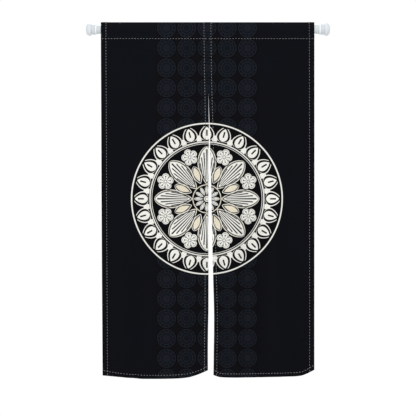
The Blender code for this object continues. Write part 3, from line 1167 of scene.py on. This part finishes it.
@dataclass(frozen=True)
class ClothFinish:
    """Woven polyester, printed on its front, with painted light and shade in its colour: paler on
    the rod pocket's lower, downward-facing part, darker between threads and along rolled edges.

    A pair is a base and what an effect adds to it, or a bump's strength and its height in metres.
    """

    face: Face
    ground: Colour = (0.00283, 0.00325, 0.00522)
    disc: Colour = (0.0038, 0.0051, 0.0081)
    line: Colour = (0.0106, 0.0130, 0.0181)
    outline: Colour = (0.0010, 0.0012, 0.0020)
    gap: Colour = (0.0030, 0.0026, 0.0040)
    inside: Colour = (0.0020, 0.0022, 0.0032)
    # The colour of the painted shade along the rolled edges.
    edge: Colour = (0.0006, 0.0006, 0.0010)
    ink: Colour = (0.800, 0.795, 0.745)
    gold: Colour = (0.680, 0.575, 0.350)
    gold_share: float = 0.55
    show_through: float = 0.10
    # Width, softness and strength of the painted shade along the rolled edges.
    edge_shade_width: float = 0.0034
    edge_shade_soft: float = 0.0030
    edge_shade_strength: float = 0.85
    # Painted light on the rod pocket's lower, downward-facing part: where it starts, how soft it is and how
    # much paler it makes the cloth.
    pocket_light_from: float = 0.036
    pocket_light_soft: float = 0.022
    pocket_soft: float = 0.0004
    pocket_light_gain: float = 0.52
    ink_cover: Pair = (0.93, 0.10)
    # Painted shade from the threads' height: darker in the crevices between threads, lighter on their tops.
    thread_painted_shade: Pair = (0.52, 0.80)
    dye_light: Pair = (0.60, 0.40)
    roughness: Pair = (0.80, 0.12)
    shine: float = 0.06
    thread_bump: Pair = (0.6, 0.00018)

    def material(self, palette: Palette) -> bpy.types.Material:
        """Builds the material.

        Args:
            palette: The shared effects.

        Returns:
            The material.
        """
        made = Material(f"cloth_{self.face.value}")
        cloth_place = made.uv(CLOTH_MAP)
        weave = made.effect(palette.weave, cloth_place)
        uneven = made.effect(palette.uneven, cloth_place)
        strip = made.effect(palette.medallions, cloth_place)
        roundel = made.effect(palette.roundel, cloth_place)
        shows = 1.0 if self.face is Face.FRONT else self.show_through

        outside = 1.0 - roundel["Ground"]
        tone = self.ground
        layers = (("Gap", self.gap), ("Outline", self.outline), ("Disc", self.disc), ("Line", self.line))
        for label, colour in layers:
            tone = made.mix(strip[label] * outside * shows, tone, colour)
        tone = made.mix(roundel["Ground"] * shows, tone, self.inside)

        from_side, from_hem, _ = parts(made.tree, made.uv(EDGE_MAP))
        # Painted shade: a dark band along the hem and the free side edges, where the cloth rolls back.
        painted_edge_shade = from_side.low(from_hem).below(self.edge_shade_width, self.edge_shade_soft)
        tone = made.mix(painted_edge_shade * self.edge_shade_strength, tone, self.edge)

        ink_tone = made.mix(roundel["Gold"] * self.gold_share, self.ink, self.gold)
        cover = roundel["Ink"] * uneven["Fine"].line(*self.ink_cover) * shows
        tone = made.mix(cover, tone, ink_tone)

        dye = weave["Shade"] + uneven["Slow"]
        drop = parts(made.tree, cloth_place)[1].size()
        in_pocket = drop.below(POCKET_DROP, self.pocket_soft)
        # Painted light: the lower part of the rod pocket, which faces down, is made paler.
        pocket_painted_light = drop.above(self.pocket_light_from, self.pocket_light_soft) * in_pocket
        # Painted shade: crevices between the threads darker and their tops lighter; the dye and clouds vary
        # at random.
        factor = weave["Height"].line(*self.thread_painted_shade) * dye.line(*self.dye_light)
        factor = factor * pocket_painted_light.line(1.0, self.pocket_light_gain)
        made.feed("Base Color", made.shade(tone, factor))

        made.set(Specular_IOR_Level=self.shine)
        made.feed("Roughness", uneven["Slow"].line(*self.roughness))
        made.bump(weave["Height"], *self.thread_bump)
        return made.made


@dataclass(frozen=True)
class ThreadFinish:
    """Grey polyester sewing thread, two-ply. The bump's pair is its strength and height in metres."""

    colour: Colour = (0.335, 0.335, 0.345)
    # How dark the painted shade in the grooves between the plies is.
    ply_groove_shade: float = 0.62
    ply_share: float = 0.7
    ply_pitch: float = 0.0011
    ply_bump: Pair = (0.5, 0.00015)
    roughness: float = 0.55
    shine: float = 0.3

    def material(self, palette: Palette) -> bpy.types.Material:
        """Builds the material: slanting ply ridges along each stitch, with painted shade in their grooves.
        """
        made = Material("thread")
        fine = made.effect(palette.uneven, made.own_place())["Fine"]
        along, around, _ = parts(made.tree, made.uv(CLOTH_MAP))
        ply = (along * (2 * math.pi / self.ply_pitch) + around * (2 * math.pi)).sine() * 0.5 + 0.5
        # Painted shade: the grooves between the plies are darker; the fine specks are random tone.
        dark = tuple(c * self.ply_groove_shade for c in self.colour)
        light = ply * self.ply_share + fine * (1 - self.ply_share)
        made.feed("Base Color", made.mix(light, dark, self.colour))
        made.set(Roughness=self.roughness, Specular_IOR_Level=self.shine)
        made.bump(ply, *self.ply_bump)
        return made.made


WORN_TINT = (0.93, 0.93, 0.91)
WHITE_SHINE = 0.20


@dataclass(frozen=True)
class PlasticFinish:
    """Satin white moulded plastic, a little uneven and handled.

    A part is darker beyond its sleeve distance from either end of the rod, where the hard sleeve
    takes over from the soft foot. A sleeve distance of 0 makes it all sleeve. Roughness is a base
    and what the specks add, and the grain a bump's strength and its height in metres.
    """

    name: str
    colour: Colour
    sleeve_from: float = 0.0
    sleeve_tone: float = 1.0
    sleeve_soft: float = 0.0002
    cloud_share: float = 0.6
    roughness: Pair = (0.42, 0.16)
    grain: Pair = (0.12, 0.0002)

    def material(self, palette: Palette, length: float) -> bpy.types.Material:
        """Builds the material: faint clouds in the colour and a fine moulded grain.

        Args:
            palette: The shared effects.
            length: The rod's length.

        Returns:
            The material.
        """
        made = Material(self.name)
        uneven = made.effect(palette.uneven, made.own_place())
        slow, fine = uneven["Slow"], uneven["Fine"]
        clouds = slow * self.cloud_share + fine * (1 - self.cloud_share)
        worn = tuple(c * f for c, f in zip(self.colour, WORN_TINT))
        foot, sleeve = (
            made.mix(clouds, *(tuple(c * tone for c in colour) for colour in (self.colour, worn)))
            for tone in (1.0, self.sleeve_tone)
        )
        from_end = length / 2 - (parts(made.tree, made.own_place())[0] - length / 2).size()
        in_sleeve = from_end.above(self.sleeve_from, self.sleeve_soft)
        made.feed("Base Color", made.mix(in_sleeve, foot, sleeve))
        made.feed("Roughness", fine.line(*self.roughness))
        made.set(Specular_IOR_Level=WHITE_SHINE)
        made.bump(fine, *self.grain)
        return made.made


CAP_PLASTIC = PlasticFinish("cap_plastic", (0.650, 0.690, 0.732), 0.0224, 0.925)
RING_PLASTIC = PlasticFinish("ring_plastic", (0.770, 0.805, 0.840))


@dataclass(frozen=True)
class TubeFinish:
    """White powder coat on a steel tube, with orange peel.

    Roughness is a base and what the clouds add, and the peel a bump's strength and height in metres.
    """

    colour: Colour = (0.585, 0.638, 0.648)
    dulled: float = 0.90
    roughness: Pair = (0.38, 0.10)
    peel: Pair = (0.10, 0.0003)

    def material(self, palette: Palette) -> bpy.types.Material:
        """Builds the material: slow waves in the coat and a few duller patches."""
        made = Material("tube_paint")
        uneven = made.effect(palette.uneven, made.own_place())
        slow, fine = uneven["Slow"], uneven["Fine"]
        dull = tuple(c * self.dulled for c in self.colour)
        made.feed("Base Color", made.mix(slow, self.colour, dull))
        made.feed("Roughness", slow.line(*self.roughness))
        made.set(Specular_IOR_Level=WHITE_SHINE)
        made.bump(fine, *self.peel)
        return made.made


STITCH_SIDES = 6
STITCH_LID = np.array([[0, 1, 2, 3], [0, 3, 4, 5]])


@dataclass
class StitchRun:
    """Running stitches along a line on the cloth: each is a small rounded pillow."""

    pitch: float = 0.01185
    length: float = 0.0066
    half_width: float = 0.00080
    height: float = 0.00050
    rings: int = 6
    tip: float = 0.02
    blunt: float = 0.45
    proud: float = 0.35

    def pillows(
        self, shape: PanelShape, share: Array, way: Array, face: Face, under: float
    ) -> tuple[Array, Array, Array]:
        """Makes the stitches of one line.

        The line is read at even distances for the start and end of each stitch. A stitch is an
        ellipse carried along the straight run between them, its size a root of a sine of the
        distance, so both ends are round. A lid of two faces closes each end.

        Args:
            shape: The panel's surface.
            share: Places across the panel along the line.
            way: Distances along the cloth along the line.
            face: The face of the cloth that they lie on.
            under: The cloth's thickness there, for stitches on its back.

        Returns:
            Points, faces and UV places of all the stitches.
        """
        line = shape.points(share, way)
        gone = np.concatenate([[0.0], np.cumsum(np.linalg.norm(np.diff(line, axis=0), axis=1))])
        count = int((gone[-1] + self.pitch - self.length) // self.pitch)
        start = (gone[-1] - count * self.pitch + self.pitch - self.length) / 2
        begins = start + self.pitch * np.arange(count)
        t = np.linspace(0.0, 1.0, self.rings)
        at = begins[:, None] + self.length * t[None]
        s, w = np.interp(at, gone, share), np.interp(at, gone, way)
        normal = shape.normals(s, w)
        middle = shape.points(s, w)
        if face is Face.BACK:
            middle = middle - normal * under
            normal = -normal
        along = middle[:, -1:] - middle[:, :1]
        along = along / np.linalg.norm(along, axis=-1, keepdims=True)
        sideways = np.cross(normal, along)
        along_arc = math.pi * np.clip(t, self.tip, 1 - self.tip)
        swell = (np.sin(along_arc) ** self.blunt)[None, :, None, None]
        turn = np.linspace(0, 2 * math.pi, STITCH_SIDES, endpoint=False)
        ring = (
            sideways[:, :, None] * np.cos(turn)[None, None, :, None] * self.half_width
            + normal[:, :, None] * np.sin(turn)[None, None, :, None] * self.height
        )
        points = middle[:, :, None] + ring * swell + normal[:, :, None] * self.height * self.proud
        number = np.arange(count * self.rings * STITCH_SIDES).reshape(count, self.rings, STITCH_SIDES)
        after = np.roll(number, -1, axis=2)
        quads = np.stack([number[:, :-1], after[:, :-1], after[:, 1:], number[:, 1:]], axis=-1)
        lids = (number[:, 0][:, STITCH_LID[:, ::-1]], number[:, -1][:, STITCH_LID])
        faces = np.concatenate([part.reshape(-1, 4) for part in (quads, *lids)])
        uv = np.stack(np.broadcast_arrays(at[:, :, None], (turn / (2 * math.pi))[None, None]), axis=-1)
        return points.reshape(-1, 3), faces, uv.reshape(-1, 2)


@dataclass
class ClothPanel:
    """One hemmed panel with its stitches."""

    shape: PanelShape
    node: str
    row_step: float = 0.0055
    column_coarse: float = 0.0100
    column_fine: float = 0.0016
    pocket_steps: tuple[float, float, float] = (0.0035, 0.0012, 0.0030)
    seam_reach: float = 0.0045
    hem_rows: float = 0.030
    blend_rows: float = 0.200
    side_points: int = 500
    lap_points: int = 60
    row_points: int = 300
    thread_start: float = 0.003
    thread_end: float = 0.002
    back_start: float = 0.012
    lap_inset: float = 0.001
    row_inset: float = 0.004

    @property
    def name(self) -> str:
        """The panel's name."""
        return f"cloth_{self.shape.side.value}"

    def hem_bands(self) -> tuple[float, float]:
        """The widths of the hems on the panel's left and right."""
        sizes = self.shape.sizes
        outer, inner = sizes.outer_stitch + sizes.past_stitch, sizes.inner_stitch + sizes.past_stitch
        return (outer, inner) if self.shape.side is Side.LEFT else (inner, outer)

    def shares(self) -> Array:
        """The places of the columns of points: fine near the edges and stitch lines."""
        width = self.shape.width
        left_band, right_band = self.hem_bands()
        past = self.shape.sizes.past_stitch
        marks = [0.0, left_band - past, left_band, width - right_band, width - right_band + past, width]
        return uneven_steps(marks, self.column_coarse, self.column_fine, self.seam_reach) / width

    def ways(self, share: Array) -> Array:
        """The ways of the rows of points, one column for each share.

        Args:
            share: Places across the panel.

        Returns:
            An array of rows by columns. The lap and the pocket have even rows, and below them the
            rows are spread between the stitch line and the hem, fine near both.
        """
        shape, sizes = self.shape, self.shape.sizes
        lap_end = -(shape.back_length + sizes.pocket_lap)
        pocket_marks = [lap_end, -shape.back_length, 0.0, shape.front_length]
        pocket = uneven_steps(pocket_marks, *self.pocket_steps)
        end = shape.end_way(share)
        longest = float(end.max()) - shape.front_length
        bottom = float(shape.hem_stitch(share).min())
        tail_marks = [0.0, longest - bottom - sizes.past_stitch, longest - bottom, longest]
        tail = uneven_steps(tail_marks, self.row_step, self.column_fine, self.seam_reach)[1:]
        fixed = ease((longest - tail - self.hem_rows) / self.blend_rows)
        stretch = (end - shape.front_length)[None] - longest
        drop = shape.front_length + tail[:, None] + stretch * (1 - fixed[:, None])
        return np.concatenate([np.repeat(pocket[:, None], len(share), axis=1), drop])

    def build(self, front: bpy.types.Material, back: bpy.types.Material) -> Piece:
        """Builds the cloth: the outer face as a grid, thickened to the back by Solidify.

        Args:
            front: The finish of the printed face and the edges.
            back: The finish of the other face.

        Returns:
            The cloth.
        """
        shape, sizes = self.shape, self.shape.sizes
        way = self.ways(self.shares())
        share = np.broadcast_to(self.shares()[None], way.shape)
        piece = make_piece(self.name, shape.points(share, way), grid_faces(*way.shape)[:, ::-1])
        base = shape.base(share, way)
        drop = shape.top - base[..., 2]
        printed = np.stack([base[..., 0] - shape.centre, np.where(way < 0, -drop, drop)], axis=-1)
        add_uv(piece, CLOTH_MAP, printed)
        outer, slit, hem = shape.seam_distances(share, way)
        joined = SEAM_MARK * (1 - shape.slit_open(way))
        add_uv(piece, EDGE_MAP, np.stack([np.minimum(outer, slit + joined), hem], axis=-1))

        left_band, right_band = self.hem_bands()
        in_hem = (share * shape.width < left_band) | ((1 - share) * shape.width < right_band)
        in_hem |= hem < shape.hem_stitch(share) + sizes.past_stitch
        group = piece.vertex_groups.new(name="hems")
        group.add(np.flatnonzero(in_hem.ravel()).tolist(), 1.0, "REPLACE")
        for finish in (front, back):
            piece.data.materials.append(finish)
        shell = piece.modifiers.new("cloth", "SOLIDIFY")
        shell.thickness = sizes.hem_thickness
        shell.offset = -1
        shell.vertex_group = group.name
        shell.thickness_vertex_group = sizes.cloth_thickness / sizes.hem_thickness
        shell.material_offset = 1
        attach(piece, BODY)
        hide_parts(self.node)
        return piece

    def stitch_lines(self) -> list[tuple[Array, Array, Face, float]]:
        """The lines that are sewn: the side hems, the bottom hem, and the pocket's front and back.

        Returns:
            For each line: shares, ways, the face that it shows on and the cloth's thickness there.
        """
        shape, sizes = self.shape, self.shape.sizes
        front, back = (Face.FRONT, 0.0), (Face.BACK, sizes.hem_thickness)
        stitch_shares = [sizes.outer_stitch / shape.width, 1 - sizes.inner_stitch / shape.width]
        if shape.side is Side.RIGHT:
            stitch_shares = [1 - s for s in stitch_shares]
        lap_end = -(shape.back_length + sizes.pocket_lap)
        lines = []
        for share in stitch_shares:
            end = float(shape.end_way(np.array(share))) - self.thread_end
            for first, last, count, face in (
                (self.thread_start, end, self.side_points, front),
                (-self.thread_start, lap_end + self.lap_inset, self.lap_points, front),
                (shape.front_length + self.back_start, end, self.side_points, back),
            ):
                lines.append((np.full(count, share), np.linspace(first, last, count), *face))
        across = np.linspace(self.row_inset, 1 - self.row_inset, self.row_points)
        hem = shape.end_way(across) - shape.hem_stitch(across)
        lines += [(across, hem, *front), (across, hem, *back)]
        for way in (shape.front_length, -shape.back_length):
            lines.append((across, np.full_like(across, way), *front))
        return lines

    def sew(self, thread: bpy.types.Material) -> Piece:
        """Builds all the panel's stitches as one piece.

        Args:
            thread: The thread's finish.

        Returns:
            The stitches.
        """
        run = StitchRun()
        made = [run.pillows(self.shape, *line) for line in self.stitch_lines()]
        offsets = np.cumsum([0] + [len(points) for points, _, _ in made[:-1]])
        points, faces, places = zip(*made)
        faces = np.concatenate([part + offset for part, offset in zip(faces, offsets)])
        piece = make_piece(f"stitches_{self.shape.side.value}", np.concatenate(points), faces)
        add_uv(piece, CLOTH_MAP, np.concatenate(places))
        piece.data.materials.append(thread)
        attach(piece, BODY)
        return piece


def close_up(mesh: bpy.types.Mesh) -> None:
    """Merges the points that meet at a pole and turns the faces outwards.

    Args:
        mesh: The mesh, changed in place.
    """
    work = bmesh.new()
    work.from_mesh(mesh)
    bmesh.ops.remove_doubles(work, verts=work.verts, dist=0.000001)
    bmesh.ops.recalc_face_normals(work, faces=work.faces)
    work.to_mesh(mesh)
    work.free()


def arc(centre: Pair, radii: Pair, first: float, last: float, steps: int) -> Array:
    """Points on an ellipse: its centre plus its radii times sine and cosine, in degrees from outwards."""
    angle = np.radians(np.linspace(first, last, steps + 1))
    return np.stack([centre[0] + radii[0] * np.sin(angle), centre[1] + radii[1] * np.cos(angle)], axis=1)


@dataclass
class Rod:
    """The white tube with a cap and a ring on each end. Distances start at an end face."""

    length: float
    steps: int = 96
    tube_radius: float = 0.0175
    tube_wall: float = 0.0008
    fit_gap: float = 0.0003
    cap_length: float = 0.0360
    cap_floor: float = 0.0100
    foot_radius: float = 0.0256
    foot_depth: float = 0.0150
    foot_back: float = 0.0195
    flat_radius: float = 0.0080
    waist_radius: float = 0.0210
    waist_start: float = 0.0230
    lip: float = 0.0012
    grip_depth: float = 0.0006
    grip_pitch: float = 0.0030
    grip_points: int = 61
    grip_ease: Pair = (0.0015, 0.0006)
    joint_depth: float = 0.0005
    joint_inset: float = 0.0006
    joint_reach: float = 0.0004
    ring_width: float = 0.0074
    ring_radius: float = 0.0213
    ring_lip: float = 0.0012
    foot_steps: int = 24
    flare_steps: int = 25
    lip_steps: int = 6
    ring_steps: int = 8
    tube_points: int = 40
    sharp_degrees: float = 50.0

    def grip_face(self) -> Array:
        """The cap's end face from the axis outwards: flat, with round grooves that help it grip.

        The depth is the groove's depth times a power of a cosine of the radius.
        """
        radius = np.linspace(0.0, self.flat_radius, self.grip_points)
        inner, outer = self.grip_ease
        wave = np.cos(2 * math.pi * radius / self.grip_pitch).clip(0, 1) ** 2
        inside = ease(radius / inner) * ease((self.flat_radius - radius) / outer)
        return np.stack([self.grip_depth * wave * inside, radius], axis=1)

    def cap_profile(self) -> Array:
        """The cap from the middle of its end face round to the floor of its bore.

        The foot is a quarter of an ellipse and a straight brim. The flare to the waist is a cosine,
        with a fine joint line where the soft foot meets the hard sleeve.
        """
        foot_height = self.foot_radius - self.flat_radius
        centre = (self.foot_depth, self.flat_radius)
        foot = arc(centre, (self.foot_depth, foot_height), -90.0, 0.0, self.foot_steps)
        t = np.linspace(0.0, 1.0, self.flare_steps)[1:]
        flare_z = self.foot_back + (self.waist_start - self.foot_back) * t
        eased = 0.5 - 0.5 * np.cos(math.pi * t)
        flare_r = self.foot_radius + (self.waist_radius - self.foot_radius) * eased
        off_joint = flare_z - self.waist_start + self.joint_inset
        flare_r = flare_r - self.joint_depth * np.exp(-((off_joint / self.joint_reach) ** 2))
        end = self.cap_length
        shoulder = (end - self.lip, self.waist_radius - self.lip)
        rim = arc(shoulder, (self.lip, self.lip), 0.0, 90.0, self.lip_steps)
        bore = self.tube_radius + self.fit_gap
        inside = np.array([[end, bore], [self.cap_floor, bore], [self.cap_floor, 0.0]])
        flare = np.stack([flare_z, flare_r], axis=1)
        brim = np.array([[self.foot_back, self.foot_radius]])
        return np.concatenate([self.grip_face(), foot[1:], brim, flare, rim, inside])

    def ring_profile(self) -> Array:
        """The ring: a band with round edges, as a closed loop."""
        start = self.cap_length + self.fit_gap
        end = start + self.ring_width
        bore = self.tube_radius + self.fit_gap
        shoulder = self.ring_radius - self.ring_lip
        radii = (self.ring_lip, self.ring_lip)
        near = arc((start + self.ring_lip, shoulder), radii, -90.0, 0.0, self.ring_steps)
        far = arc((end - self.ring_lip, shoulder), radii, 0.0, 90.0, self.ring_steps)
        return np.concatenate([[[start, bore]], near, far, [[end, bore]]])

    def tube_profile(self) -> Array:
        """The tube's wall, as a closed loop."""
        start = self.cap_floor + self.fit_gap
        along = np.linspace(start, self.length - start, self.tube_points)
        bore = self.tube_radius - self.tube_wall
        outside = np.stack([along, np.full_like(along, self.tube_radius)], axis=1)
        inside = np.stack([along[::-1], np.full_like(along, bore)], axis=1)
        return np.concatenate([outside, inside])

    def turned(
        self, node: str, profile: Array, closed: bool, from_left: bool, finish: bpy.types.Material
    ) -> Piece:
        """Turns a profile about the rod's axis, for the node that it stands for.

        Each point of the profile is carried round a circle: x is its distance along the rod, y and
        z its radius times a cosine and a sine.

        Args:
            node: The node that it replaces.
            profile: Points (distance from the end face, radius).
            closed: Whether the profile is a loop. Otherwise it starts and ends on the axis.
            from_left: Whether distances start at the rod's left end.
            finish: Its material.

        Returns:
            The piece.
        """
        turn = np.linspace(0, 2 * math.pi, self.steps, endpoint=False)
        along = profile[:, :1] if from_left else self.length - profile[:, :1]
        radius = profile[:, 1:]
        points = np.stack(np.broadcast_arrays(along, radius * np.cos(turn), radius * np.sin(turn)), axis=-1)
        number = np.arange(points.size // 3).reshape(len(profile), self.steps)
        if closed:
            number = np.concatenate([number, number[:1]])
        after = np.roll(number, -1, axis=1)
        quads = np.stack([number[:-1], after[:-1], after[1:], number[1:]], axis=-1).reshape(-1, 4)
        piece = make_piece(f"{node}_turned", points, quads)
        close_up(piece.data)
        piece.data.set_sharp_from_angle(angle=math.radians(self.sharp_degrees))
        piece.data.materials.append(finish)
        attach(piece, BODY)
        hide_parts(node)
        return piece

    def build(self, palette: Palette) -> list[Piece]:
        """Builds the tube, caps and rings.

        Args:
            palette: The shared effects.

        Returns:
            The tube, then each end's cap and ring.
        """
        paint = TubeFinish().material(palette)
        cap_plastic = CAP_PLASTIC.material(palette, self.length)
        ring_plastic = RING_PLASTIC.material(palette, self.length)
        pieces = [self.turned("rod_tube", self.tube_profile(), True, True, paint)]
        for end, from_left in ((Side.LEFT, True), (Side.RIGHT, False)):
            cap = self.turned(f"cap_{end.value}", self.cap_profile(), False, from_left, cap_plastic)
            ring = self.turned(f"ring_{end.value}", self.ring_profile(), True, from_left, ring_plastic)
            pieces += [cap, ring]
        return pieces


@dataclass
class Studio:
    """The camera, the floor and the lights."""

    centre: float
    top: float
    distance: float = 10.0
    frame_height: float = 1.6748
    middle_drop: float = 0.7480
    middle_across: float = 0.0016
    sensor_width: float = 36.0
    surround: float = 0.88
    key_watts: float = 46.0
    fill_watts: float = 21.0
    back_watts: float = 80.0
    seen_surround: float = 1.02
    floor_radius: float = 1.9
    floor_height: float = -2.0

    def camera(self) -> None:
        """Makes the camera: level, square on to the cloth, at the height of its middle."""
        data = bpy.data.cameras.new("camera")
        data.sensor_width = self.sensor_width
        data.lens = self.sensor_width * self.distance / self.frame_height
        camera = add("camera", data)
        camera.location = (self.centre + self.middle_across, -self.distance, self.top - self.middle_drop)
        camera.rotation_euler = (math.pi / 2, 0, 0)
        bpy.context.scene.camera = camera

    def floor(self) -> None:
        """Makes a plain pale floor below the curtain, out of the photograph's view."""
        angle = np.linspace(0, 2 * math.pi, 96, endpoint=False)
        x, y = self.floor_radius * np.cos(angle), self.floor_radius * np.sin(angle)
        rim = np.stack([self.centre + x, y, np.full_like(x, self.floor_height)], axis=-1)
        mesh = bpy.data.meshes.new("floor")
        mesh.from_pydata(rim, [], [list(range(len(rim)))])
        made = Material("floor")
        made.set(Base_Color=(0.92, 0.92, 0.92, 1.0), Roughness=0.9)
        mesh.materials.append(made.made)
        floor = add("floor", mesh)

    def lamp(self, name: str, place: Point, size: float, watts: float) -> None:
        """Makes one soft square lamp that points at the middle of the cloth.

        Args:
            name: Its name.
            place: Its place.
            size: Its width.
            watts: Its power.
        """
        data = bpy.data.lights.new(name, "AREA")
        data.size = size
        data.energy = watts
        lamp = add(name, data)
        lamp.location = place
        aim = np.array([self.centre, 0.0, self.top - self.middle_drop]) - np.array(place)
        tilt = math.acos(-aim[2] / np.linalg.norm(aim))
        lamp.rotation_euler = (tilt, 0.0, math.atan2(-aim[0], aim[1]))

    def light(self) -> None:
        """Lights the scene: a white surround, two soft lamps in front and one behind."""
        world = bpy.data.worlds.new("surround")
        world.use_nodes = True
        tree = world.node_tree
        background = tree.nodes["Background"]
        background.inputs["Color"].default_value = (1.0, 1.0, 1.0, 1.0)
        seen = Number(tree, tree.nodes.new("ShaderNodeLightPath").outputs["Is Camera Ray"])
        strength = seen * (self.seen_surround - self.surround) + self.surround
        tree.links.new(strength.socket, background.inputs["Strength"])
        bpy.context.scene.world = world
        for name, (x, y, z), size, watts in (
            ("key", (1.3, -2.8, 2.4), 1.6, self.key_watts),
            ("fill", (-2.2, -2.6, 0.6), 1.8, self.fill_watts),
            ("back", (-0.9, 2.9, 2.3), 1.6, self.back_watts),
        ):
            self.lamp(name, (self.centre + x, y, z), size, watts)
        bpy.context.scene.view_settings.view_transform = "Standard"


def main() -> None:
    """Builds the curtain's looks, piece by piece."""
    logging.basicConfig(level=logging.INFO, format="%(name)s: %(message)s")
    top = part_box("panel_left")[1][2]
    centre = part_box("panel_left")[0][0] - LEFT_OUTER_EDGE[0].value
    palette = Palette()

    studio = Studio(centre, top)
    studio.camera()
    studio.floor()
    studio.light()

    rod = Rod(cad_high[0] - cad_low[0]).build(palette)
    for piece in rod:
        LOG.info("%s: %d faces", piece.name, len(piece.data.polygons))

    front = ClothFinish(Face.FRONT).material(palette)
    back = ClothFinish(Face.BACK).material(palette)
    thread = ThreadFinish().material(palette)
    sizes = ClothSizes()
    for side, tables in ((Side.LEFT, LEFT_TABLES), (Side.RIGHT, RIGHT_TABLES)):
        panel = ClothPanel(PanelShape(side, sizes, tables, centre, top), f"panel_{side.value}")
        cloth = panel.build(front, back)
        LOG.info("%s: %d faces", cloth.name, len(cloth.data.polygons))
        stitches = panel.sew(thread)
        LOG.info("%s: %d faces", stitches.name, len(stitches.data.polygons))


if __name__ == "__main__":
    main()
